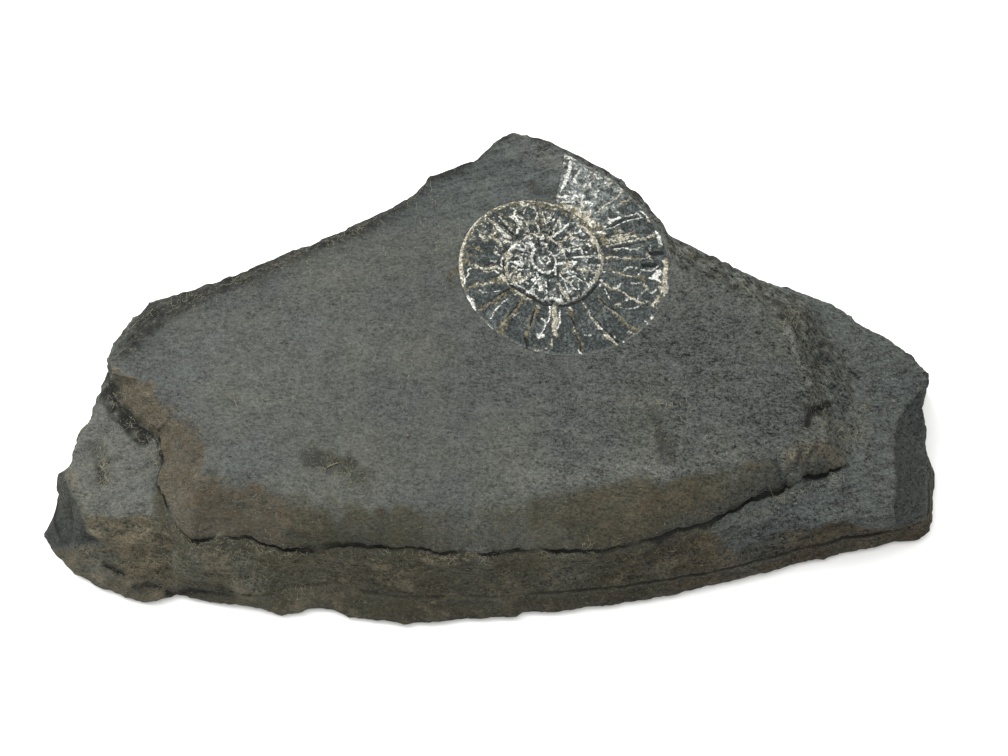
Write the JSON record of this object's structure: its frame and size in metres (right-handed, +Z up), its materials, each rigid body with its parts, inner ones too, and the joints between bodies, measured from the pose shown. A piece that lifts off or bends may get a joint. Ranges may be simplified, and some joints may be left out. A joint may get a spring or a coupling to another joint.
{
  "type": "psiloceras ammonite fossil on a mudstone slab",
  "caption": "Crushed, ribbed, evolute ammonite with white and cream shell remains, lying near the back edge of a broken slab of dark laminated mudstone with a flat underside.",
  "frame": {"origin": "middle of the slab's box, on the plane of its flat underside", "axes": "+X along the slab's length, to the right in the picture; +Y towards the edge that the fossil lies near, away from the viewer; +Z up, out of the fossil's face"},
  "size_m": [0.214, 0.126, 0.0293],
  "materials": {
    "mudstone": "dull dark blue-grey laminated mudstone, iron-stained brown and olive on its worn edges",
    "fossil_shell": "white, cream and tan shell remains over a dark mudstone mould, satin"
  },
  "bodies": {
    "root": {"shale_slab": "mudstone", "ammonite": "fossil_shell"}
  },
  "joints": []
}
